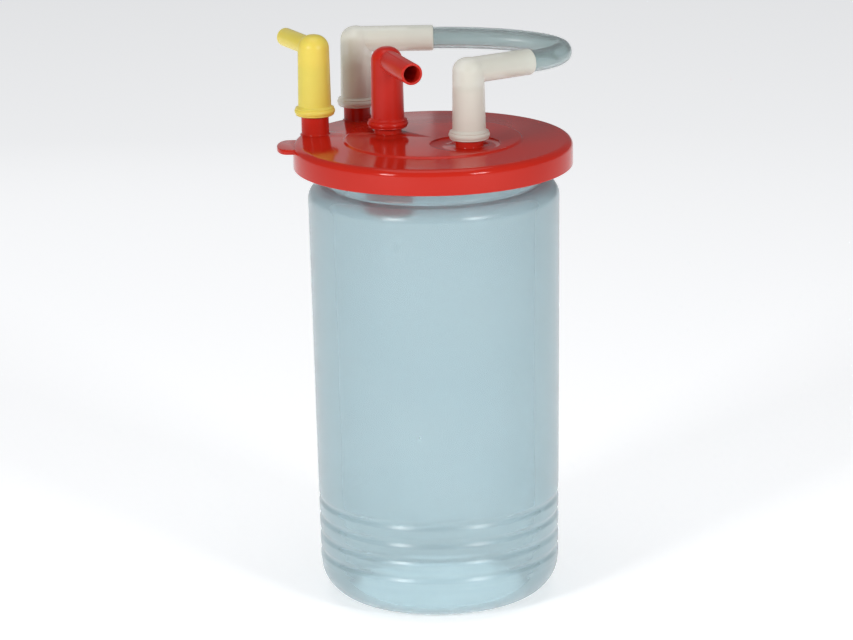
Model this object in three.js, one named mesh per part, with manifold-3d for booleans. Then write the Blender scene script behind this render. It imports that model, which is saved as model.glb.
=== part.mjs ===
// Suction collection canister: a nominal two litre liner jar with a wide lid, four elbow
// connectors and a bridging tube. Millimetres, +Z up, origin at the centre of the jar's base.

import * as THREE from 'three';
import { mergeVertices } from 'three/addons/utils/BufferGeometryUtils.js';
import Module from 'manifold-3d';

// Jar
const baseRadius = 56.6;
const shoulderRadius = 59;
const baseCorner = 17;
const bandTop = 51;
const shoulderStart = 193;
const shoulderCorner = 7.2;
const shoulderSweep = 80;
const neckFillet = 0.4;
const neckRadius = 50.5;
const neckTop = 216;
const wall = 1.2;
const grooveHeights = [22.3, 30.9, 39.5, 48.1];
const grooveDepth = 0.85;
const grooveHalfHeight = 2.2;
const bandBlend = 6;
const cornerSteps = 8;

// Lid
const lidTop = 220;
const lidRadius = 65.5;
const lidUnderside = 218.3;
const lidEdge = 3.2;
const skirtBottom = 208;
const skirtWall = 1.8;
const skirtInnerEase = [0.8, 1.5];
const skirtOuterEase = [0.5, 0.8];
const plateauRadius = 41;
const plateauHeight = 0.9;
const plateauSlope = 1.2;
const plugRadii = [47.2, 48.8];
const plugBottom = 208.5;
const socketRadii = [51.2, 52.7];
const socketBottom = 210.5;
const tabReach = 73;
const tabHalfWidth = 11.5;
const tabTop = 218.4;
const tabThickness = 2.4;
const tabRoot = 4;
const tabEndDepth = 5;
const tabTaper = 0.6;

// Ports: centre of each post on the lid, and how far its elbow's foot stands above the lid
const postRadius = 6.5;
const postTop = 246;
const postBore = 3.8;
const ports = {
  yellow: { x: -55.3, y: 16.5, foot: 9 },
  bridgeBack: { x: -35.8, y: 46.5, foot: 6.9 },
  patient: { x: -21, y: 12.5, foot: 3.5 },
  filter: { x: 16.9, y: -16, foot: 3.5 },
};

// Elbows
const elbowHeight = 38.4;
const elbowRadius = 7.4;
const elbowFootRadius = 7.8;
const beadRadius = 9.6;
const beadHeight = 4.2;
const beadRoll = 1.3;
const beadEdge = 0.7;
const beadEase = 0.4;
const elbowCrown = 6.4;
const elbowBore = 6.8;
const elbowBoreDepth = 23.5;
const armDrop = 6.25;
const socketArmRadius = 6.15;
const socketBore = 5.45;
const socketDepth = 12.5;
const flowBore = 3.8;
const socketNose = 2;
const spigotNose = 0.5;
const noseEase = 0.3;
const noseTip = 0.45;
const yellowArm = { azimuth: 117, length: 31, radius: 4.4, bore: 2.9 };
const redArm = { azimuth: -71, length: 36.5, radius: 5.15, bore: 4 };
const backArm = { azimuth: 0, length: 37, radius: socketArmRadius };
const frontArm = { azimuth: 33, length: 34.5, radius: socketArmRadius };

// Bridging tube
const tubeRadius = 5.1;
const tubeBore = 3.5;
const tubeInsertion = 12;
const tubeHandles = [43, 45];

// Non-return valve under the patient port
const valveRadius = 11.3;
const valveWall = 1.6;
const valveBottom = 183;
const ledgeBottom = 203.3;
const ledgeRadius = 8.2;
const seatTop = 203;
const seatThickness = 2;
const seatHole = 5;
const flapRadius = 6.6;
const flapThickness = 1.2;
const flapShift = 1;
const strapLength = 4;
const hingeOffset = 6.6;
const knuckleRadius = 1.45;
const knuckleHalfWidth = 2.5;
const pinRadius = 0.6;
const pinHalfLength = 4.4;
const earInner = 3.1;
const earOuter = 4.5;
const earLength = 2.7;
const earBelowPin = 1.9;
const earRoot = 0.5;
const earShift = 0.1;
const endRingFlange = 1.3;
const endRingSpigot = 2.4;
const endRingWidth = 2.2;

// Hydrophobic filter under the filter port
const filterCentre = { x: 15, y: -14 };
const filterRadius = 15;
const filterWall = 1.6;
const filterBottom = 209.8;
const membraneThickness = 1.2;
const pocketRadius = 16.4;
const pocketDepth = 0.8;
const spacerWidth = 2.2;
const spacerHeight = 3;
const grilleSetback = 0.6;
const grilleHoleRadius = 1.9;
const grilleHoleRings = [{ count: 6, pitch: 6 }, { count: 12, pitch: 11.2 }];

// Clearance between pieces, how far a joined shape sinks in, and how far a cutter overshoots
const gap = 0.3;
const sink = 1;
const overshoot = 1;
const roundSegments = 48;
const lidSegments = 56;
const ringSegments = 32;
const elbowSegments = 24;
const boreSegments = 16;
const holeSegments = 8;

const wasm = await Module();
wasm.setup();

// A closed geometry as a solid: shared corners merged, flat triangles at the poles left out.
function solid(geometry) {
  geometry.deleteAttribute('normal');
  geometry.deleteAttribute('uv');
  const merged = mergeVertices(geometry, 1e-3);
  const corners = Array.from(merged.index.array);
  const triangles = [];
  for (let i = 0; i < corners.length; i += 3) {
    const [a, b, c] = corners.slice(i, i + 3);
    if (a !== b && b !== c && c !== a) triangles.push(a, b, c);
  }
  return new wasm.Manifold(new wasm.Mesh({
    numProp: 3,
    vertProperties: new Float32Array(merged.attributes.position.array),
    triVerts: new Uint32Array(triangles),
  }));
}

const group = new THREE.Group();

function addPart(name, shape, colour, roughness, opacity = 1) {
  const { vertProperties, triVerts } = shape.getMesh();
  const geometry = new THREE.BufferGeometry();
  geometry.setAttribute('position', new THREE.BufferAttribute(vertProperties, 3));
  geometry.setIndex(new THREE.BufferAttribute(triVerts, 1));
  geometry.computeVertexNormals();
  const finish = { color: colour, roughness, metalness: 0, opacity, transparent: opacity < 1 };
  const mesh = new THREE.Mesh(geometry, new THREE.MeshStandardMaterial(finish));
  mesh.name = name;
  group.add(mesh);
  return mesh;
}

// Revolves a profile of [radius, height] points, listed counter-clockwise, about the Z axis.
function revolved(profile, segments = roundSegments) {
  const points = profile.map(([r, z]) => new THREE.Vector2(r, z));
  return new THREE.LatheGeometry(points, segments).rotateX(Math.PI / 2);
}

function arc(centreR, centreZ, radius, from, to, steps) {
  return Array.from({ length: steps + 1 }, (_, i) => {
    const angle = THREE.MathUtils.degToRad(from + ((to - from) * i) / steps);
    return [centreR + radius * Math.cos(angle), centreZ + radius * Math.sin(angle)];
  });
}

function closed(profile) {
  return [...profile, profile[0]];
}

function rod(radius, bottom, top, x, y, segments = elbowSegments) {
  return solid(revolved([[0, bottom], [radius, bottom], [radius, top], [0, top]], segments)
    .translate(x, y, 0));
}

function ring(inner, outer, bottom, top, x = 0, y = 0, segments = roundSegments) {
  const profile = closed([[inner, bottom], [outer, bottom], [outer, top], [inner, top]]);
  return solid(revolved(profile, segments).translate(x, y, 0));
}

// A rod lying in the horizontal direction of an azimuth in degrees, between two distances.
function lyingRod(profile, azimuth, x, y, z, segments = elbowSegments) {
  return solid(revolved(profile, segments)
    .rotateY(Math.PI / 2)
    .rotateZ(THREE.MathUtils.degToRad(azimuth))
    .translate(x, y, z));
}

function wallRadius(z) {
  return THREE.MathUtils.mapLinear(z, 0, shoulderStart, baseRadius, shoulderRadius);
}

function makeJar() {
  const outer = [
    [0, 0],
    ...arc(baseRadius - baseCorner, baseCorner, baseCorner, -90, 0, cornerSteps),
  ];
  for (const z of grooveHeights) {
    outer.push([wallRadius(z), z - grooveHalfHeight]);
    outer.push([wallRadius(z) - grooveDepth, z]);
    outer.push([wallRadius(z), z + grooveHalfHeight]);
  }
  outer.push([wallRadius(bandTop + bandBlend), bandTop + bandBlend]);
  outer.push(...arc(shoulderRadius - shoulderCorner, shoulderStart, shoulderCorner, 0,
    shoulderSweep, 5));
  outer.push([neckRadius, shoulderStart + shoulderCorner + neckFillet]);
  outer.push([neckRadius, neckTop]);
  const innerCorner = baseCorner - wall;
  const shoulderInner = shoulderCorner - wall;
  const inner = [
    [neckRadius - wall, neckTop],
    [neckRadius - wall, shoulderStart + shoulderInner],
    ...arc(shoulderRadius - shoulderCorner, shoulderStart, shoulderInner, shoulderSweep, 0, 4),
    [wallRadius(bandTop + bandBlend) - wall - grooveDepth, bandTop + bandBlend],
    ...arc(baseRadius - wall - grooveDepth - innerCorner, baseCorner, innerCorner, 0, -90, cornerSteps),
    [0, wall],
  ];
  addPart('liner_jar', solid(revolved([...outer, ...inner])), 0xb4ccd2, 0.35, 0.6);
}

function makeLid() {
  const [innerEaseR, innerEaseZ] = skirtInnerEase;
  const [outerEaseR, outerEaseZ] = skirtOuterEase;
  const skin = [
    [0, lidUnderside],
    [lidRadius - skirtWall - innerEaseR, lidUnderside],
    [lidRadius - skirtWall, lidUnderside - innerEaseZ],
    [lidRadius - skirtWall, skirtBottom],
    [lidRadius - outerEaseR, skirtBottom],
    [lidRadius, skirtBottom + outerEaseZ],
    ...arc(lidRadius - lidEdge, lidTop - lidEdge, lidEdge, 0, 90, 4),
    [plateauRadius + plateauSlope, lidTop],
    [plateauRadius, lidTop + plateauHeight],
    [0, lidTop + plateauHeight],
  ];
  let lid = solid(revolved(skin, lidSegments));
  const [plugInner, plugOuter] = plugRadii;
  const [socketInner, socketOuter] = socketRadii;
  lid = lid.add(ring(plugInner, plugOuter, plugBottom, lidTop - sink));
  lid = lid.add(ring(socketInner, socketOuter, socketBottom, lidTop - sink));

  const filterInner = filterRadius + gap;
  lid = lid.add(ring(filterInner, filterInner + filterWall, filterBottom, lidTop - sink,
    filterCentre.x, filterCentre.y, ringSegments));
  lid = lid.subtract(rod(pocketRadius, lidTop + plateauHeight - pocketDepth, lidTop + 3 * overshoot,
    filterCentre.x, filterCentre.y, ringSegments));

  for (const { x, y } of Object.values(ports)) {
    lid = lid.add(rod(postRadius, lidTop - sink, postTop, x, y));
  }
  for (const { x, y } of Object.values(ports)) {
    lid = lid.subtract(rod(postBore, lidUnderside - 2 * overshoot, postTop + overshoot, x, y,
      boreSegments));
  }

  // Pull tab: a flat tongue with a round end, standing out from under the lid's edge
  const tongue = new THREE.Shape();
  const roundCentre = tabReach - tabEndDepth;
  tongue.moveTo(-(lidRadius - tabRoot), -tabHalfWidth);
  tongue.lineTo(-(lidRadius - tabRoot), tabHalfWidth);
  tongue.lineTo(-roundCentre, tabHalfWidth - tabTaper);
  tongue.absellipse(-roundCentre, 0, tabEndDepth, tabHalfWidth - tabTaper,
    Math.PI / 2, 1.5 * Math.PI);
  tongue.closePath();
  const tab = new THREE.ExtrudeGeometry(tongue, {
    depth: tabThickness, bevelEnabled: false, curveSegments: 8,
  }).translate(0, 0, tabTop - tabThickness);
  const inside = rod(lidRadius - skirtWall, skirtBottom - overshoot, lidUnderside, 0, 0,
    lidSegments);
  lid = lid.add(solid(tab).subtract(inside));
  addPart('lid', lid, 0xbf3125, 0.18);
}

function makeSeal() {
  const [, plugOuter] = plugRadii;
  const [socketInner] = socketRadii;
  const seal = ring(plugOuter + gap, socketInner - gap, neckTop + gap, lidUnderside - gap);
  addPart('lid_seal', seal, 0xd9d9d2, 0.6);
}

// An elbow: a barrel with a rolled foot that fits over a post, and an arm flush with its round top.
function elbow(port, arm, isSocket) {
  const { x, y, foot } = port;
  const bottom = lidTop + foot;
  const top = bottom + elbowHeight;
  const axisHeight = top - armDrop;
  const beadMid = bottom + beadHeight / 2;
  const barrel = [
    [0, bottom],
    [elbowFootRadius, bottom],
    [beadRadius - beadEdge, bottom + beadEase],
    ...arc(beadRadius - beadRoll, beadMid, beadRoll, -40, 40, 2),
    [beadRadius - beadEdge, bottom + beadHeight - beadEase],
    [elbowFootRadius, bottom + beadHeight],
    ...arc(elbowRadius - elbowCrown, top - elbowCrown, elbowCrown, 0, 90, 4),
    [0, top],
  ];
  const nose = isSocket ? socketNose : spigotNose;
  const { length, azimuth, radius } = arm;
  const armProfile = [
    [0, 0],
    [radius, 0],
    [radius, length - nose],
    [radius - nose * noseEase, length - nose * noseEase],
    [radius - nose * noseTip, length],
    [0, length],
  ];
  let shape = solid(revolved(barrel, elbowSegments).translate(x, y, 0))
    .add(lyingRod(armProfile, azimuth, x, y, axisHeight));
  shape = shape.subtract(rod(elbowBore, bottom - overshoot, bottom + elbowBoreDepth, x, y));
  shape = shape.subtract(rod(flowBore, bottom, axisHeight, x, y, boreSegments));
  const flow = isSocket ? flowBore : arm.bore;
  const armEnd = length + overshoot;
  shape = shape.subtract(lyingRod([[0, 0], [flow, 0], [flow, armEnd], [0, armEnd]],
    azimuth, x, y, axisHeight, boreSegments));
  if (isSocket) {
    const start = length - socketDepth;
    const socket = [[0, start], [socketBore, start], [socketBore, armEnd], [0, armEnd]];
    shape = shape.subtract(lyingRod(socket, azimuth, x, y, axisHeight));
  }
  return shape;
}

function makeElbows() {
  addPart('yellow_elbow', elbow(ports.yellow, yellowArm, false), 0xdecb5c, 0.35);
  addPart('red_elbow', elbow(ports.patient, redArm, false), 0xc0342a, 0.3);
  addPart('white_elbow_back', elbow(ports.bridgeBack, backArm, true), 0xdcdccd, 0.35);
  addPart('white_elbow_front', elbow(ports.filter, frontArm, true), 0xdcdccd, 0.35);
}

// The tube leaves the back elbow along +X and turns back into the front elbow in one loop.
function makeBridgeTube() {
  const end = ({ x, y, foot }, { azimuth, length }) => {
    const angle = THREE.MathUtils.degToRad(azimuth);
    const direction = new THREE.Vector3(Math.cos(angle), Math.sin(angle), 0);
    const axisHeight = lidTop + foot + elbowHeight - armDrop;
    const mouth = new THREE.Vector3(x, y, axisHeight).addScaledVector(direction, length);
    return { mouth, direction };
  };
  const start = end(ports.bridgeBack, backArm);
  const finish = end(ports.filter, frontArm);
  const along = ({ mouth, direction }, distance) => mouth.clone().addScaledVector(direction, distance);
  const route = new THREE.CurvePath();
  route.add(new THREE.LineCurve3(along(start, -tubeInsertion), along(start, 0)));
  route.add(new THREE.CubicBezierCurve3(along(start, 0), along(start, tubeHandles[0]),
    along(finish, tubeHandles[1]), along(finish, 0)));
  route.add(new THREE.LineCurve3(along(finish, 0), along(finish, -tubeInsertion)));
  const section = new THREE.Shape().absarc(0, 0, tubeRadius, 0, 2 * Math.PI);
  section.holes.push(new THREE.Path().absarc(0, 0, tubeBore, 0, 2 * Math.PI, true));
  const tube = new THREE.ExtrudeGeometry(section, {
    steps: 30, curveSegments: 6, extrudePath: route, bevelEnabled: false,
  });
  addPart('bridge_tube', solid(tube), 0xa5b4b2, 0.25, 0.6);
}

// A flap valve in a short spout: liquid pushes the flap down, and nothing comes back up.
function makePatientValve() {
  const { x, y } = ports.patient;
  const inner = valveRadius - valveWall;
  const housingTop = lidUnderside - gap;
  const housing = solid(revolved(closed([
    [inner, valveBottom],
    [valveRadius, valveBottom],
    [valveRadius, housingTop],
    [ledgeRadius, housingTop],
    [ledgeRadius, ledgeBottom],
    [inner, ledgeBottom],
  ]), ringSegments).translate(x, y, 0));
  addPart('valve_housing', housing, 0xb02c22, 0.35);

  const seatUnderside = seatTop - seatThickness;
  const flapTop = seatUnderside - gap;
  const pinY = y + hingeOffset;
  const pinHeight = flapTop - knuckleRadius;
  const crosswise = (radius, halfLength) => lyingRod([[0, -halfLength], [radius, -halfLength],
    [radius, halfLength], [0, halfLength]], 0, x, pinY, pinHeight, boreSegments);
  const pinHole = crosswise(pinRadius + gap, pinHalfLength + overshoot);

  let seat = ring(seatHole, inner - gap, seatUnderside, seatTop, x, y, ringSegments);
  const earDrop = seatUnderside - pinHeight + earBelowPin;
  for (const side of [-1, 1]) {
    const ear = new THREE.BoxGeometry(earOuter - earInner, earLength, earDrop + earRoot)
      .translate(x + (side * (earInner + earOuter)) / 2, pinY + earShift,
        seatUnderside + earRoot - (earDrop + earRoot) / 2);
    seat = seat.add(solid(ear));
  }
  addPart('valve_seat', seat.subtract(pinHole), 0xe4e2d8, 0.4);
  addPart('flap_pin', crosswise(pinRadius, pinHalfLength), 0xc9ccce, 0.3);

  const disc = rod(flapRadius, flapTop - flapThickness, flapTop, x, y - flapShift,
    ringSegments);
  const strap = new THREE.BoxGeometry(2 * knuckleHalfWidth, strapLength, flapThickness)
    .translate(x, pinY - strapLength / 2, flapTop - flapThickness / 2);
  const flap = disc.add(solid(strap)).add(crosswise(knuckleRadius, knuckleHalfWidth));
  addPart('valve_flap', flap.subtract(pinHole), 0xd8d4c8, 0.7);

  const mouth = inner - gap - endRingWidth;
  const flangeTop = valveBottom - gap;
  const endRing = solid(revolved(closed([
    [mouth, flangeTop - endRingFlange],
    [valveRadius, flangeTop - endRingFlange],
    [valveRadius, flangeTop],
    [inner - gap, flangeTop],
    [inner - gap, flangeTop + endRingSpigot],
    [mouth, flangeTop + endRingSpigot],
  ]), ringSegments).translate(x, y, 0));
  addPart('housing_end_ring', endRing, 0xe6e6de, 0.4);
}

function makeFilter() {
  const { x, y } = filterCentre;
  const membraneTop = lidUnderside - gap - spacerHeight;
  const membraneBottom = membraneTop - membraneThickness;
  addPart('spacer_ring', ring(filterRadius - spacerWidth, filterRadius, membraneTop + gap,
    lidUnderside - gap, x, y, ringSegments), 0xe2e2da, 0.5);
  addPart('hydrophobic_filter', rod(filterRadius, membraneBottom, membraneTop, x, y, ringSegments),
    0xf2f1ea, 0.9);

  // Support grille: a flat disc with two rings of round holes
  const grilleTop = membraneBottom - gap;
  let grille = rod(filterRadius, filterBottom + grilleSetback, grilleTop, x, y, ringSegments);
  for (const { count, pitch } of grilleHoleRings) {
    for (let i = 0; i < count; i += 1) {
      const angle = (2 * Math.PI * i) / count;
      grille = grille.subtract(rod(grilleHoleRadius, filterBottom, grilleTop + overshoot,
        x + pitch * Math.cos(angle), y + pitch * Math.sin(angle), holeSegments));
    }
  }
  addPart('filter_grille', grille, 0xe2e2da, 0.5);
}

makeJar();
makeLid();
makeSeal();
makeElbows();
makeBridgeTube();
makePatientValve();
makeFilter();

export default group;
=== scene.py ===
import bpy
import bmesh
import math
from mathutils import Matrix, Vector


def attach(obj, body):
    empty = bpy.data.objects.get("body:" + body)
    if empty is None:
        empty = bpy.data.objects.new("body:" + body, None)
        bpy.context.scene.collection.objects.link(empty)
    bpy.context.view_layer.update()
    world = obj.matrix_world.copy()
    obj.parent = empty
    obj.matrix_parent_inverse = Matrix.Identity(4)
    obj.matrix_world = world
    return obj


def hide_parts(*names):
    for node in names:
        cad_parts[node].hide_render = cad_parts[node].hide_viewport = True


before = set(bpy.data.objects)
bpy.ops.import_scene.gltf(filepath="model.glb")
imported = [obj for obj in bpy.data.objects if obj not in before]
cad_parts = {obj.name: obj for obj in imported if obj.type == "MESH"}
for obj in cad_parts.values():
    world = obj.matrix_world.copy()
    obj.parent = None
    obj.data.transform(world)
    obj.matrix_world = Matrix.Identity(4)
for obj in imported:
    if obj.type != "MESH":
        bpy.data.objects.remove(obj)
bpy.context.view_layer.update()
scene = bpy.context.scene
print("frame loaded")


def tint(red, green, blue):
    # screen colour, 0 to 255, as the linear colour that shaders take
    return tuple(((c / 255 + 0.055) / 1.055) ** 2.4 for c in (red, green, blue)) + (1,)


def arc(centreR, centreZ, radius, start, end, steps):
    turn = [math.radians(start + (end - start) * i / steps) for i in range(steps + 1)]
    return [(centreR + radius * math.cos(a), centreZ + radius * math.sin(a)) for a in turn]


# wires: node sockets that add up like numbers

class Wire:
    def __init__(self, graph, socket):
        self.graph, self.socket = graph, socket

    def maths(self, operation, first, second=None):
        values = {0: first} if second is None else {0: first, 1: second}
        return self.graph.node("ShaderNodeMath", {"operation": operation}, values)

    def __add__(self, other): return self.maths("ADD", self, other)
    def __radd__(self, other): return self.maths("ADD", other, self)
    def __sub__(self, other): return self.maths("SUBTRACT", self, other)
    def __rsub__(self, other): return self.maths("SUBTRACT", other, self)
    def __mul__(self, other): return self.maths("MULTIPLY", self, other)
    def __rmul__(self, other): return self.maths("MULTIPLY", other, self)
    def __truediv__(self, other): return self.maths("DIVIDE", self, other)
    def __mod__(self, other): return self.maths("FLOORED_MODULO", self, other)
    def __lt__(self, other): return self.maths("LESS_THAN", self, other)
    def __gt__(self, other): return self.maths("GREATER_THAN", self, other)


class Graph:
    def __init__(self, tree):
        self.tree = tree

    def node(self, kind, settings=None, values=None, out=0):
        made = self.tree.nodes.new(kind)
        for key, value in (settings or {}).items():
            setattr(made, key, value)
        for key, value in (values or {}).items():
            self.feed(made.inputs[key], value)
        return Wire(self, made.outputs[out]) if len(made.outputs) else made

    def feed(self, socket, value):
        if isinstance(value, Wire):
            self.tree.links.new(value.socket, socket)
        else:
            socket.default_value = value


# camera

cameraPlan = {"place": (0, -1.958, 0.6576), "pitch": 0.262, "yaw": -0.00227, "roll": -0.01768, "lens": 180.95}


def makeCamera(plan):
    pitch, yaw, roll = plan["pitch"], plan["yaw"], plan["roll"]
    forward = Vector((math.sin(yaw) * math.cos(pitch), math.cos(yaw) * math.cos(pitch), -math.sin(pitch)))
    right = Vector((math.cos(yaw), -math.sin(yaw), 0))
    up = right.cross(forward)
    turnedRight = right * math.cos(roll) + up * math.sin(roll)
    turnedUp = up * math.cos(roll) - right * math.sin(roll)
    place = Matrix((turnedRight, turnedUp, -forward)).transposed().to_4x4()
    place.translation = Vector(plan["place"])
    camera = bpy.data.objects.new("camera", bpy.data.cameras.new("camera"))
    camera.data.sensor_width = 36
    camera.data.lens = plan["lens"]
    camera.data.clip_start, camera.data.clip_end = 0.05, 40
    camera.matrix_world = place
    scene.collection.objects.link(camera)
    scene.camera = camera


makeCamera(cameraPlan)
print("camera placed")


# finishes: every colour and gloss varies a little over the surface

def newMaterial(name):
    material = bpy.data.materials.new(name)
    material.use_nodes = True
    material.node_tree.nodes.clear()
    return material, Graph(material.node_tree)


def mouldedPlastic(name, plan):
    material, graph = newMaterial(name)
    place = graph.node("ShaderNodeTexCoord", out=3)
    cloud = graph.node("ShaderNodeTexNoise", {},
                       {"Vector": place, "Scale": plan["cloudScale"], "Detail": 3.0})
    peel = graph.node("ShaderNodeTexNoise", {},
                      {"Vector": place, "Scale": plan["peelScale"], "Detail": 2.0})
    colour = graph.node("ShaderNodeMix", {"data_type": "RGBA"},
                        {0: cloud, 6: plan["dark"], 7: plan["light"]}, out=2)
    rough = plan["roughness"] + (cloud - 0.5) * plan["roughSpread"]
    bump = graph.node("ShaderNodeBump", {}, {"Strength": plan["bump"], "Distance": 0.0002, "Height": peel})
    shader = graph.node("ShaderNodeBsdfPrincipled", {}, {
        "Base Color": colour, "Roughness": rough, "Normal": bump, "IOR": plan.get("ior", 1.5),
        "Transmission Weight": plan.get("through", 0.0), "Subsurface Weight": plan.get("glow", 0.0),
        "Subsurface Radius": (0.004, 0.003, 0.002), "Subsurface Scale": 1.0,
        "Metallic": plan.get("metal", 0.0), "Sheen Weight": plan.get("sheen", 0.0),
        "Alpha": plan.get("alpha", 1.0), "Coat Weight": plan.get("coat", 0.0), "Coat Roughness": 0.28})
    graph.node("ShaderNodeOutputMaterial", {}, {"Surface": shader})
    return material


finishes = {
    "milky_jar": {"dark": tint(210, 229, 234), "light": tint(220, 236, 240), "roughness": 0.26,
                  "roughSpread": 0.06, "cloudScale": 22.0, "peelScale": 50.0, "bump": 0.01,
                  "through": 0.76, "ior": 1.2, "coat": 0.6},
    "red_lid": {"dark": tint(188, 34, 20), "light": tint(199, 41, 26), "roughness": 0.11,
                "roughSpread": 0.05, "cloudScale": 30.0, "peelScale": 500.0, "bump": 0.04, "ior": 1.33},
    "red_fitting": {"dark": tint(194, 34, 22), "light": tint(206, 42, 28), "roughness": 0.3,
                    "roughSpread": 0.08, "cloudScale": 60.0, "peelScale": 900.0, "bump": 0.06,
                    "glow": 0.1, "ior": 1.34},
    "yellow_fitting": {"dark": tint(232, 208, 84), "light": tint(240, 220, 104), "roughness": 0.34,
                       "roughSpread": 0.08, "cloudScale": 60.0, "peelScale": 900.0, "bump": 0.06,
                       "glow": 0.25, "ior": 1.4},
    "white_fitting": {"dark": tint(238, 237, 224), "light": tint(246, 246, 234), "roughness": 0.36,
                      "roughSpread": 0.08, "cloudScale": 60.0, "peelScale": 900.0, "bump": 0.06,
                      "alpha": 0.62, "ior": 1.4},
    "clear_tube": {"dark": tint(206, 220, 220), "light": tint(220, 232, 232), "roughness": 0.2,
                   "roughSpread": 0.06, "cloudScale": 40.0, "peelScale": 400.0, "bump": 0.08,
                   "through": 0.85, "ior": 1.35},
    "white_insert": {"dark": tint(226, 226, 218), "light": tint(236, 236, 228), "roughness": 0.42,
                     "roughSpread": 0.08, "cloudScale": 80.0, "peelScale": 900.0, "bump": 0.12},
    "filter_membrane": {"dark": tint(232, 231, 222), "light": tint(246, 245, 238), "roughness": 0.9,
                        "roughSpread": 0.06, "cloudScale": 500.0, "peelScale": 2400.0, "bump": 0.6,
                        "sheen": 0.2},
    "soft_seal": {"dark": tint(208, 204, 190), "light": tint(220, 216, 204), "roughness": 0.7,
                  "roughSpread": 0.1, "cloudScale": 120.0, "peelScale": 1500.0, "bump": 0.25, "glow": 0.1},
    "steel_pin": {"dark": tint(180, 183, 186), "light": tint(208, 210, 212), "roughness": 0.3,
                  "roughSpread": 0.15, "cloudScale": 400.0, "peelScale": 2000.0, "bump": 0.15, "metal": 1.0},
}
materials = {slot: mouldedPlastic(slot, plan) for slot, plan in finishes.items()}
print("finishes made:", len(materials))


# trees: each takes a geometry and named inputs, and ends by realizing and painting its result

weldDistance = 0.000004


def startTree(name, inputs):
    tree = bpy.data.node_groups.new(name, "GeometryNodeTree")
    for side in ("INPUT", "OUTPUT"):
        tree.interface.new_socket("Geometry", in_out=side, socket_type="NodeSocketGeometry")
    for label, kind in inputs.items():
        tree.interface.new_socket(label, in_out="INPUT", socket_type="NodeSocket" + kind)
    tree.interface.new_socket("Material", in_out="INPUT", socket_type="NodeSocketMaterial")
    graph = Graph(tree)
    entry = tree.nodes.new("NodeGroupInput")
    return graph, {socket.name: Wire(graph, socket) for socket in entry.outputs if socket.name}


def endTree(graph, given, geometry):
    real = graph.node("GeometryNodeRealizeInstances", {}, {"Geometry": geometry})
    painted = graph.node("GeometryNodeSetMaterial", {}, {"Geometry": real, "Material": given["Material"]})
    graph.feed(graph.tree.nodes.new("NodeGroupOutput").inputs[0], painted)
    return graph.tree


# lathe: turns a profile and presses in evenly spaced grooves

def makeLatheTree(grooveInnerLimit):
    graph, given = startTree("lathe", {
        "Points": "Int", "Segments": "Int", "Groove count": "Float", "First groove": "Float",
        "Groove pitch": "Float", "Groove depth": "Float", "Groove half height": "Float"})
    around = given["Segments"] + 1
    grid = graph.node("GeometryNodeMeshGrid", {},
                      {"Vertices X": given["Points"], "Vertices Y": around})
    index = graph.node("GeometryNodeInputIndex")
    row = graph.node("ShaderNodeMath", {"operation": "FLOOR"}, {0: (index + 0.5) / around})
    angle = (index % around) * (2 * math.pi) / given["Segments"]
    place = graph.node("GeometryNodeInputPosition")
    sample = graph.node("GeometryNodeSampleIndex", {"data_type": "FLOAT_VECTOR", "domain": "POINT"},
                        {"Geometry": given["Geometry"], "Value": place, "Index": row})
    parts = graph.tree.nodes.new("ShaderNodeSeparateXYZ")
    graph.feed(parts.inputs[0], sample)
    radius, height = Wire(graph, parts.outputs[0]), Wire(graph, parts.outputs[2])

    # distance to the nearest groove, in its own pitch, and a smooth hollow round it
    step = (height - given["First groove"]) / given["Groove pitch"]
    nearest = graph.node("ShaderNodeMath", {"operation": "ROUND"}, {0: step})
    away = graph.node("ShaderNodeMath", {"operation": "ABSOLUTE"},
                      {0: (step - nearest) * given["Groove pitch"]})
    share = graph.node("ShaderNodeMath", {"operation": "MINIMUM"},
                       {0: away / given["Groove half height"], 1: 1.0})
    hollow = graph.node("ShaderNodeMath", {"operation": "COSINE"}, {0: share * math.pi}) * 0.5 + 0.5
    inBand = (nearest > -0.5) * (nearest < given["Groove count"] - 0.5)
    pressed = radius - hollow * inBand * (radius > grooveInnerLimit) * given["Groove depth"]
    across = pressed * graph.node("ShaderNodeMath", {"operation": "COSINE"}, {0: angle})
    along = pressed * graph.node("ShaderNodeMath", {"operation": "SINE"}, {0: angle})
    spot = graph.node("ShaderNodeCombineXYZ", {}, {0: across, 1: along, 2: height})
    moved = graph.node("GeometryNodeSetPosition", {}, {"Geometry": grid, "Position": spot})
    return endTree(graph, given, graph.node("GeometryNodeMergeByDistance", {},
                                            {"Geometry": moved, "Distance": weldDistance}))


latheTree = makeLatheTree(grooveInnerLimit=0.03)


def applyTree(obj, tree, values):
    modifier = obj.modifiers.new("nodes", "NODES")
    modifier.node_group = tree
    for item in tree.interface.items_tree:
        if item.in_out == "INPUT" and item.name in values:
            modifier[item.identifier] = values[item.name]
    return bakeModifiers(obj)


def bakeModifiers(obj):
    obj.update_tag()
    bpy.context.view_layer.update()
    made = bpy.data.meshes.new_from_object(obj.evaluated_get(bpy.context.evaluated_depsgraph_get()))
    obj.modifiers.clear()
    obj.data = made
    return obj


def pointsOutward(obj):
    work = bmesh.new()
    work.from_mesh(obj.data)
    bmesh.ops.remove_doubles(work, verts=work.verts, dist=0.000002)
    bmesh.ops.dissolve_degenerate(work, edges=work.edges, dist=0.000001)
    bmesh.ops.recalc_face_normals(work, faces=work.faces)
    if work.calc_volume(signed=True) < 0:
        bmesh.ops.reverse_faces(work, faces=work.faces)
    work.to_mesh(obj.data)
    work.free()
    return obj


def newObject(name, corners, edges=(), faces=()):
    mesh = bpy.data.meshes.new(name)
    mesh.from_pydata([tuple(c) for c in corners], list(edges), list(faces))
    obj = bpy.data.objects.new(name, mesh)
    scene.collection.objects.link(obj)
    return obj


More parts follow.
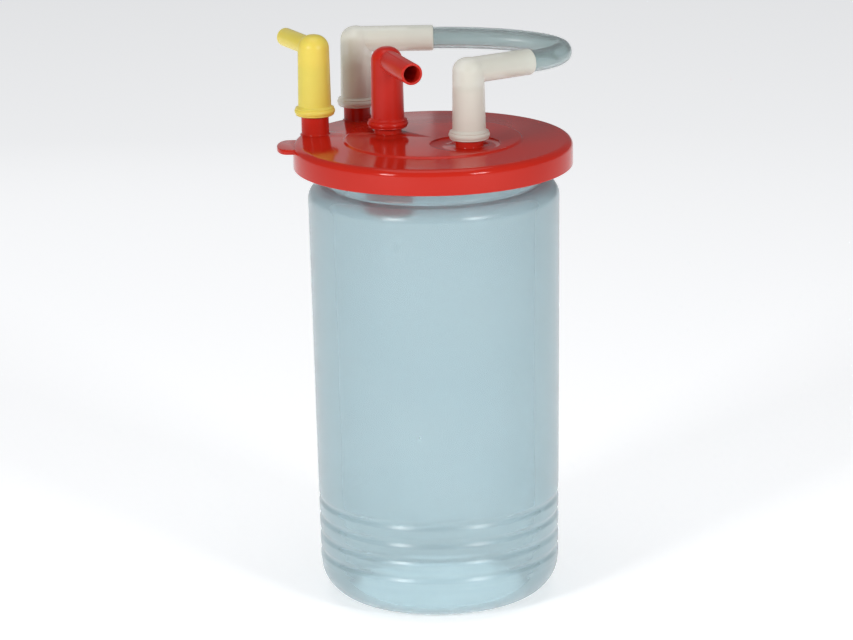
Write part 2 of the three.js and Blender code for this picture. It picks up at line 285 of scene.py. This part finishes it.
def turned(name, profile, slot, segments=96, grooves=None):
    # profile: radius and height in millimetres; a ring's profile repeats its first point
    obj = newObject(name, [(r / 1000, 0, z / 1000) for r, z in profile],
                    [(i, i + 1) for i in range(len(profile) - 1)])
    values = {"Points": len(profile), "Segments": segments, "Groove count": 0.0, "First groove": 0.0,
              "Groove pitch": 1.0, "Groove depth": 0.0, "Groove half height": 1.0,
              "Material": materials[slot]}
    values.update(grooves or {})
    return pointsOutward(applyTree(obj, latheTree, values))


def shifted(obj, matrix):
    obj.data.transform(matrix)
    obj.data.update()
    return obj


def moveBy(obj, x, y, z=0):
    return shifted(obj, Matrix.Translation((x / 1000, y / 1000, z / 1000)))


def layAlong(obj, azimuth, x, y, z):
    turn = Matrix.Rotation(math.radians(azimuth), 4, "Z") @ Matrix.Rotation(math.pi / 2, 4, "Y")
    return shifted(obj, Matrix.Translation((x / 1000, y / 1000, z / 1000)) @ turn)


def combine(target, tool, operation):
    modifier = target.modifiers.new("combine", "BOOLEAN")
    modifier.operation, modifier.solver, modifier.object = operation, "EXACT", tool
    bakeModifiers(target)
    bpy.data.objects.remove(tool)
    return target


def finishPiece(obj, body, cadNodes, slot, creaseDegrees=32):
    work = bmesh.new()
    work.from_mesh(obj.data)
    for polygon in work.faces:
        polygon.smooth = True
    for edge in work.edges:
        edge.smooth = len(edge.link_faces) != 2 or edge.calc_face_angle(0) < math.radians(creaseDegrees)
    work.to_mesh(obj.data)
    work.free()
    obj.data.materials.clear()
    obj.data.materials.append(materials[slot])
    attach(obj, body)
    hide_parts(*cadNodes)
    return obj


def rod(name, radius, bottom, top, slot, segments=64):
    return turned(name, [(0, bottom), (radius, bottom), (radius, top), (0, top)], slot, segments)


def softRing(name, inner, outer, bottom, top, ease, slot, segments=96):
    profile = [(inner + ease, bottom), (outer - ease, bottom), (outer, bottom + ease), (outer, top - ease),
               (outer - ease, top), (inner + ease, top), (inner, top - ease), (inner, bottom + ease),
               (inner + ease, bottom)]
    return turned(name, profile, slot, segments)


# bridging tube: swept along its route, then given its wall

tubePlan = {"radius": 5.1, "wall": 1.6, "insertion": 12, "handles": (43, 45), "samples": 60, "leadSteps": 5,
            "around": 40, "start": (1.2, 46.5, 259.05), "startAzimuth": 0,
            "finish": (45.834, 2.79, 255.65), "finishAzimuth": 33}


def tubeRoute(plan):
    def heading(azimuth):
        return Vector((math.cos(math.radians(azimuth)), math.sin(math.radians(azimuth)), 0))
    first, last = Vector(plan["start"]), Vector(plan["finish"])
    leaving, arriving = heading(plan["startAzimuth"]), heading(plan["finishAzimuth"])
    handles = [first, first + leaving * plan["handles"][0], last + arriving * plan["handles"][1], last]
    steps = plan["leadSteps"]
    lead = [first - leaving * plan["insertion"] * (1 - i / steps) for i in range(steps)]
    bend = []
    for i in range(plan["samples"] + 1):
        t = i / plan["samples"]
        weights = [(1 - t) ** 3, 3 * t * (1 - t) ** 2, 3 * t * t * (1 - t), t ** 3]
        bend.append(sum((h * w for h, w in zip(handles, weights)), Vector()))
    tail = [last - arriving * plan["insertion"] * (i + 1) / steps for i in range(steps)]
    return [p / 1000 for p in lead + bend + tail]


def makeSweepTree():
    graph, given = startTree("tubeSweep", {"Radius": "Float", "Around": "Int"})
    path = graph.node("GeometryNodeMeshToCurve", {}, {"Mesh": given["Geometry"]})
    section = graph.node("GeometryNodeCurvePrimitiveCircle", {},
                         {"Resolution": given["Around"], "Radius": given["Radius"]})
    swept = graph.node("GeometryNodeCurveToMesh", {}, {"Curve": path, "Profile Curve": section})
    return endTree(graph, given, swept)


def makeTube(plan):
    route = tubeRoute(plan)
    tube = newObject("bridgeTube", route, [(i, i + 1) for i in range(len(route) - 1)])
    applyTree(tube, makeSweepTree(), {"Radius": plan["radius"] / 1000, "Around": plan["around"],
                                      "Material": materials["clear_tube"]})
    work = bmesh.new()
    work.from_mesh(tube.data)
    centres = [(face, min(route, key=lambda p: (face.calc_center_median() - p).length))
               for face in work.faces]
    inward = sum((f.calc_center_median() - c).dot(f.normal) < 0 for f, c in centres)
    if inward > len(centres) / 2:
        bmesh.ops.reverse_faces(work, faces=work.faces)
    work.to_mesh(tube.data)
    work.free()
    thick = tube.modifiers.new("wall", "SOLIDIFY")
    thick.thickness, thick.offset = plan["wall"] / 1000, -1
    bakeModifiers(tube)
    finishPiece(tube, "bridge", ["bridge_tube"], "clear_tube")
    length = sum((b - a).length for a, b in zip(route, route[1:]))
    print("bridging tube made, length", round(length, 4))


makeTube(tubePlan)


# jar

jarPlan = {"baseRadius": 56.6, "shoulderRadius": 59, "baseCorner": 17, "shoulderStart": 193,
           "shoulderCorner": 7.2, "shoulderSweep": 80, "neckRadius": 50.5, "neckTop": 216,
           "neckHollow": 1.6, "hollowSink": 0.1, "hollowFrom": 262, "lip": 0.3, "wall": 1.2,
           "rows": 300, "segments": 160}
groovePlan = {"Groove count": 4.0, "First groove": 0.0223, "Groove pitch": 0.0086,
              "Groove depth": 0.00085, "Groove half height": 0.0026}


def makeJar(plan, grooves):
    wall, corner, curl = plan["wall"], plan["baseCorner"], plan["shoulderCorner"]
    base, shoulder, start = plan["baseRadius"], plan["shoulderRadius"], plan["shoulderStart"]
    neck, top, lip, sweep = plan["neckRadius"], plan["neckTop"], plan["lip"], plan["shoulderSweep"]
    hollow = plan["neckHollow"]

    def side(inset, low, up):
        rows = plan["rows"]
        heights = [low + (start - low) * i / rows for i in range(1, rows)]
        points = [(base + (shoulder - base) * z / start - inset, z) for z in heights]
        return points if up else points[::-1]

    outer = [(0, 0)] + arc(base - corner, corner, corner, -90, 0, 24) + side(0, corner, True)
    outer += arc(shoulder - curl, start, curl, 0, sweep, 14)
    outer += arc(neck + hollow, start + curl + hollow - plan["hollowSink"], hollow,
                 plan["hollowFrom"], 180, 8)
    outer += [(neck, top - lip), (neck - lip, top)]
    inner = [(neck - wall + lip, top), (neck - wall, top - lip), (neck - wall, start + curl - wall)]
    inner += arc(shoulder - curl, start, curl - wall, sweep, 0, 12) + side(wall, corner, False)
    inner += arc(base - corner, corner, corner - wall, 0, -90, 22) + [(0, wall)]
    jar = turned("linerJar", outer + inner, "milky_jar", plan["segments"], grooves)
    finishPiece(jar, "jar", ["liner_jar"], "milky_jar", 40)
    print("jar made, triangles", sum(len(p.vertices) - 2 for p in jar.data.polygons))


makeJar(jarPlan, groovePlan)


# lid

lidPlan = {"top": 220, "radius": 65.5, "underside": 218.3, "edge": 3.2, "skirtBottom": 208, "skirtWall": 1.8,
           "plateauRadius": 41, "plateauHeight": 0.9, "plug": (47.2, 48.8, 208.5),
           "socket": (51.2, 52.7, 210.5),
           "tabReach": 73, "tabHalfWidth": 11.5, "tabTop": 218.4, "tabThickness": 2.4, "tabRoot": 4,
           "tabEndDepth": 5, "tabTaper": 0.6, "tabSteps": 24, "tabEase": 0.0005, "segments": 192}
postPlan = {"radius": 6.5, "top": 246, "bore": 3.8, "fillet": 0.6}
portPlan = {"yellow": (-55.3, 16.5, 9), "back": (-35.8, 46.5, 6.9), "patient": (-21, 12.5, 3.5),
            "filter": (16.9, -16, 3.5)}
filterPlan = {"x": 15, "y": -14, "radius": 15, "wall": 1.6, "bottom": 209.8, "pocketRadius": 16.4,
              "pocketDepth": 0.8, "gap": 0.3}


def makeTab(plan):
    depth, steps, half = plan["tabEndDepth"], plan["tabSteps"], plan["tabHalfWidth"]
    root, end, tip = plan["tabRoot"] - plan["radius"], depth - plan["tabReach"], half - plan["tabTaper"]
    outline = [(root, -half), (root, half), (end, tip)]
    for i in range(1, steps):
        turn = math.pi * i / steps
        outline.append((end - depth * math.sin(turn), tip * math.cos(turn)))
    outline += [(end, -tip)]
    low, high, count = plan["tabTop"] - plan["tabThickness"], plan["tabTop"], len(outline)
    corners = [(x / 1000, y / 1000, z / 1000) for z in (low, high) for x, y in outline]
    faces = [tuple(range(count)), tuple(range(2 * count - 1, count - 1, -1))]
    faces += [(i, i + count, (i + 1) % count + count, (i + 1) % count) for i in range(count)]
    tab = pointsOutward(newObject("tab", corners, (), faces))
    ease = tab.modifiers.new("ease", "BEVEL")
    ease.width, ease.segments, ease.limit_method = plan["tabEase"], 3, "ANGLE"
    return bakeModifiers(tab)


def makeLid(plan, post, ports, pocket):
    rim, top, under, edge = plan["radius"], plan["top"], plan["underside"], plan["edge"]
    inside, raised = rim - plan["skirtWall"], top + plan["plateauHeight"]
    step, low = plan["plateauRadius"], plan["skirtBottom"]
    # the small offsets ease each corner of the skin
    skin = [(0, under), (inside - 0.8, under), (inside - 0.25, under - 0.3), (inside, under - 1.5),
            (inside, low + 0.3), (inside + 0.3, low), (rim - 0.5, low)]
    skin += arc(rim - 0.5, low + 0.5, 0.5, -70, 0, 5) + arc(rim - edge, top - edge, edge, 0, 90, 14)
    skin += [(step + 1.4, top), (step + 1.1, top + 0.06), (step + 0.7, top + 0.3),
             (step + 0.4, raised - 0.25), (step + 0.1, raised - 0.05), (step - 0.3, raised), (0, raised)]
    lid = turned("redLid", skin, "red_lid", plan["segments"])
    for inner, outer, bottom in (plan["plug"], plan["socket"]):
        ring = softRing("ring", inner, outer, bottom, top - 1, 0.25, "red_lid", plan["segments"])
        combine(lid, ring, "UNION")
    bore = pocket["radius"] + pocket["gap"]
    hold = softRing("hold", bore, bore + pocket["wall"], pocket["bottom"], top - 1, 0.25, "red_lid")
    combine(lid, moveBy(hold, pocket["x"], pocket["y"]), "UNION")
    floor = raised - pocket["pocketDepth"]
    wide = pocket["pocketRadius"]
    dish = [(0, floor), (wide - 0.5, floor), (wide - 0.15, floor + 0.15), (wide, floor + 0.5),
            (wide + 0.3, raised + 0.02), (wide + 0.3, raised + 2), (0, raised + 2)]
    cutter = moveBy(turned("dish", dish, "red_lid", 128), pocket["x"], pocket["y"])
    combine(lid, cutter, "DIFFERENCE")
    for name, (x, y, foot) in ports.items():
        ground = floor if name == "filter" else (raised if math.hypot(x, y) < step - 4 else top)
        radius, fillet = post["radius"], post["fillet"]
        shape = [(0, ground - 0.9), (radius + fillet, ground - 0.9)]
        for turn in (math.radians(a) for a in (90, 60, 30, 0)):
            shape.append((radius + fillet * (1 - math.cos(turn)), ground + fillet * (1 - math.sin(turn))))
        shape += [(radius, post["top"] - 0.5), (radius - 0.5, post["top"]), (0, post["top"])]
        combine(lid, moveBy(turned("post", shape, "red_lid", 72), x, y), "UNION")
    for x, y, foot in ports.values():
        hole = rod("bore", post["bore"], under - 2, post["top"] + 1, "red_lid")
        combine(lid, moveBy(hole, x, y), "DIFFERENCE")
    tab = makeTab(plan)
    combine(tab, rod("within", inside + 0.9, low - 1, top + 1, "red_lid", 192), "DIFFERENCE")
    combine(lid, tab, "UNION")
    finishPiece(pointsOutward(lid), "lid", ["lid"], "red_lid", 28)
    print("lid made, polygons", len(lid.data.polygons))


makeLid(lidPlan, postPlan, portPlan, filterPlan)


# elbows

elbowPlan = {"height": 38.4, "radius": 7.4, "footRadius": 7.8, "bead": 9.6, "beadHeight": 4.2, "bore": 6.8,
             "boreDepth": 23.5, "armDrop": 6.25, "crown": 6.4, "flow": 3.8, "socketBore": 5.45,
             "socketDepth": 12.5, "beadRoll": 1.6, "socketNose": 1.2, "spigotNose": 0.4}
armPlan = {
    "yellow": {"azimuth": 117, "length": 31, "radius": 4.4, "bore": 2.9,
               "body": "vacuum_elbow", "node": "yellow_elbow", "slot": "yellow_fitting"},
    "patient": {"azimuth": -71, "length": 36.5, "radius": 5.15, "bore": 4,
                "body": "patient_elbow", "node": "red_elbow", "slot": "red_fitting"},
    "back": {"azimuth": 0, "length": 37, "radius": 6.15, "bore": 0,
             "body": "bridge", "node": "white_elbow_back", "slot": "white_fitting"},
    "filter": {"azimuth": 33, "length": 34.5, "radius": 6.15, "bore": 0,
               "body": "bridge", "node": "white_elbow_front", "slot": "white_fitting"},
}


def makeElbow(name, port, arm, plan):
    x, y, rise = port
    bottom = lidPlan["top"] + rise
    top, isSocket, slot = bottom + plan["height"], arm["bore"] == 0, arm["slot"]
    axis, bead, mid = top - plan["armDrop"], plan["bead"], bottom + plan["beadHeight"] / 2
    foot, collar = plan["footRadius"], bottom + plan["beadHeight"]
    barrel = [(0, bottom), (foot - 0.3, bottom), (bead - 1, bottom + 0.12), (bead - 0.5, bottom + 0.5)]
    barrel += arc(bead - plan["beadRoll"], mid, plan["beadRoll"], -50, 50, 10)
    barrel += [(bead - 0.5, collar - 0.45), (foot + 0.4, collar), (foot, collar + 0.5)]
    barrel += arc(plan["radius"] - plan["crown"], top - plan["crown"], plan["crown"], 0, 90, 16) + [(0, top)]
    elbow = moveBy(turned(name, barrel, slot, 80), x, y)
    radius, length = arm["radius"], arm["length"]
    nose = plan["socketNose"] if isSocket else plan["spigotNose"]
    outline = [(0, 0), (radius, 0), (radius, length - nose)]
    outline += arc(radius - nose, length - nose, nose, 15, 90, 5) + [(0, length)]
    combine(elbow, layAlong(turned("arm", outline, slot, 72), arm["azimuth"], x, y, axis), "UNION")
    bore = rod("bore", plan["bore"], bottom - 1, bottom + plan["boreDepth"], slot, 72)
    combine(elbow, moveBy(bore, x, y), "DIFFERENCE")
    combine(elbow, moveBy(rod("flow", plan["flow"], bottom, axis, slot), x, y), "DIFFERENCE")
    flow = plan["flow"] if isSocket else arm["bore"]
    through = layAlong(rod("flow", flow, 0, length + 1, slot), arm["azimuth"], x, y, axis)
    combine(elbow, through, "DIFFERENCE")
    if isSocket:
        mouth = rod("mouth", plan["socketBore"], length - plan["socketDepth"], length + 1, slot, 72)
        combine(elbow, layAlong(mouth, arm["azimuth"], x, y, axis), "DIFFERENCE")
    finishPiece(pointsOutward(elbow), arm["body"], [arm["node"]], slot, 34)


for portName, arm in armPlan.items():
    makeElbow(arm["node"].replace("_", "-"), portPlan[portName], arm, elbowPlan)
print("elbows made")


# valve and filter under the lid

valvePlan = {"x": -21, "y": 12.5, "radius": 11.3, "wall": 1.6, "bottom": 183, "ledgeBottom": 203.3,
             "ledgeRadius": 8.2, "housingTop": 218, "ringWidth": 2.5, "ringFlange": 1.3, "ringSpigot": 2.4,
             "gap": 0.3}


def makeValve(plan):
    x, y, outer, inner = plan["x"], plan["y"], plan["radius"], plan["radius"] - plan["wall"]
    low, top, ledge, gap = plan["bottom"], plan["housingTop"], plan["ledgeRadius"], plan["gap"]
    housing = [(inner, low), (outer - 0.2, low), (outer, low + 0.2), (outer, top - 0.3), (outer - 0.3, top),
               (ledge, top), (ledge, plan["ledgeBottom"]), (inner, plan["ledgeBottom"]), (inner, low)]
    shell = moveBy(turned("valveHousing", housing, "red_fitting"), x, y)
    finishPiece(shell, "lid", ["valve_housing"], "red_fitting")
    mouth, flange, plug = inner - plan["ringWidth"], low - gap, inner - gap
    foot, tip = flange - plan["ringFlange"], flange + plan["ringSpigot"]
    profile = [(mouth, foot), (outer - 0.3, foot), (outer, flange - 1), (outer, flange), (plug, flange),
               (plug, tip), (mouth, tip), (mouth, foot)]
    ring = moveBy(turned("housingEndRing", profile, "white_insert"), x, y)
    finishPiece(ring, "lid", ["housing_end_ring"], "white_insert")


def makeGrilleTree():
    graph, given = startTree("grille", {
        "Disc radius": "Float", "Thickness": "Float", "Hole radius": "Float", "Inner ring": "Float",
        "Inner holes": "Int", "Outer ring": "Float", "Outer holes": "Int"})

    def circle(radius, resolution):
        return graph.node("GeometryNodeCurvePrimitiveCircle", {},
                          {"Resolution": resolution, "Radius": radius})

    hole = circle(given["Hole radius"], 20)
    joined = graph.tree.nodes.new("GeometryNodeJoinGeometry")
    graph.feed(joined.inputs[0], circle(given["Disc radius"], 96))
    for ring in ("Inner", "Outer"):
        spots = circle(given[ring + " ring"], given[ring + " holes"])
        placed = graph.node("GeometryNodeInstanceOnPoints", {}, {"Points": spots, "Instance": hole})
        graph.feed(joined.inputs[0], graph.node("GeometryNodeRealizeInstances", {}, {"Geometry": placed}))
    plate = graph.node("GeometryNodeFillCurve", {}, {"Curve": Wire(graph, joined.outputs[0])})
    raised = graph.node("GeometryNodeExtrudeMesh", {},
                        {"Mesh": plate, "Offset": (0.0, 0.0, 1.0), "Offset Scale": given["Thickness"],
                         "Individual": False})
    back = graph.node("GeometryNodeFlipFaces", {}, {"Mesh": plate})
    both = graph.tree.nodes.new("GeometryNodeJoinGeometry")
    graph.feed(both.inputs[0], raised)
    graph.feed(both.inputs[0], back)
    sealed = graph.node("GeometryNodeMergeByDistance", {},
                        {"Geometry": Wire(graph, both.outputs[0]), "Distance": weldDistance})
    return endTree(graph, given, sealed)


grillePlan = {"Disc radius": 0.015, "Thickness": 0.0031, "Hole radius": 0.0019,
              "Inner ring": 0.006, "Inner holes": 6, "Outer ring": 0.0112, "Outer holes": 12}
insertPlan = {"spacer": (2.2, 215.3, 218, 0.2), "felt": (213.8, 215, 0.2), "grilleBottom": 210.4,
              "seal": (49.1, 50.9, 216.3, 218, 0.3)}


def makeFilter(plan, grille, inserts):
    x, y, radius = plan["x"], plan["y"], plan["radius"]
    width, low, high, ease = inserts["spacer"]
    spacer = softRing("spacerRing", radius - width, radius, low, high, ease, "white_insert")
    finishPiece(moveBy(spacer, x, y), "lid", ["spacer_ring"], "white_insert")
    low, high, ease = inserts["felt"]
    edge = [(radius - ease, low), (radius, low + ease), (radius, high - ease), (radius - ease, high)]
    felt = turned("filterMembrane", [(0, low)] + edge + [(0, high)], "filter_membrane")
    finishPiece(moveBy(felt, x, y), "lid", ["hydrophobic_filter"], "filter_membrane")
    plate = newObject("filterGrille", [(0, 0, 0)])
    applyTree(plate, makeGrilleTree(), {**grille, "Material": materials["white_insert"]})
    raised = pointsOutward(moveBy(plate, x, y, inserts["grilleBottom"]))
    finishPiece(raised, "lid", ["filter_grille"], "white_insert")
    finishPiece(softRing("lidSeal", *inserts["seal"], "soft_seal", 160), "lid", ["lid_seal"], "soft_seal")


makeValve(valvePlan)
makeFilter(filterPlan, grillePlan, insertPlan)
for node, slot in (("valve_seat", "white_insert"), ("flap_pin", "steel_pin"), ("valve_flap", "soft_seal")):
    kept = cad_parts[node]
    kept.data.materials.clear()
    kept.data.materials.append(materials[slot])
print("valve and filter made")


# floor and light

floorPlan = {"corners": [(-8, -4, 0), (8, -4, 0), (8, 12, 0), (-8, 12, 0)],
             "colour": (0.93, 0.94, 0.95, 1), "roughness": 0.9, "glow": 0.45}


def makeFloor(plan):
    floor = newObject("floor", plan["corners"], (), [(0, 1, 2, 3)])
    material, graph = newMaterial("floor")
    shader = graph.node("ShaderNodeBsdfPrincipled", {}, {
        "Base Color": plan["colour"], "Roughness": plan["roughness"],
        "Emission Color": (1, 1, 1, 1), "Emission Strength": plan["glow"]})
    graph.node("ShaderNodeOutputMaterial", {}, {"Surface": shader})
    floor.data.materials.append(material)


lightPlan = [
    {"name": "keyLeft", "azimuth": -38, "elevation": 20, "distance": 1.6, "size": 0.3, "power": 9},
    {"name": "keyRight", "azimuth": 38, "elevation": 20, "distance": 1.6, "size": 0.3, "power": 7.5},
    {"name": "overhead", "azimuth": 0, "elevation": 88, "distance": 1.8, "size": 1.4, "power": 9.5},
]
backPlan = {"place": (-0.33, 1.0, 0.48), "width": 0.66, "height": 0.5, "power": 0.35}
skyPlan = {"middle": (0, 0, 0.14), "colour": (0.93, 0.95, 1, 1), "strength": 0.22}


def makeLight(name, place, target, width, height, power):
    light = bpy.data.lights.new(name, "AREA")
    light.shape, light.size, light.size_y, light.energy = "RECTANGLE", width, height, power
    obj = bpy.data.objects.new(name, light)
    facing = (target - place).to_track_quat("-Z", "Y").to_matrix().to_4x4()
    obj.matrix_world = Matrix.Translation(place) @ facing
    obj.visible_camera = False
    scene.collection.objects.link(obj)


def makeLights(plans, back, sky):
    middle = Vector(sky["middle"])
    for plan in plans:
        a, e = math.radians(plan["azimuth"]), math.radians(plan["elevation"])
        away = Vector((math.sin(a) * math.cos(e), -math.cos(a) * math.cos(e), math.sin(e)))
        place, size = middle + away * plan["distance"], plan["size"]
        makeLight(plan["name"], place, middle, size, size, plan["power"])
    place = Vector(back["place"])
    makeLight("backPanel", place, Vector((place.x, 0, place.z)), back["width"], back["height"], back["power"])
    world = bpy.data.worlds.new("studio")
    scene.world = world
    world.use_nodes = True
    background = world.node_tree.nodes["Background"]
    background.inputs[0].default_value, background.inputs[1].default_value = sky["colour"], sky["strength"]


makeFloor(floorPlan)
makeLights(lightPlan, backPlan, skyPlan)
scene.view_settings.view_transform = "Standard"
print("floor and lights made")
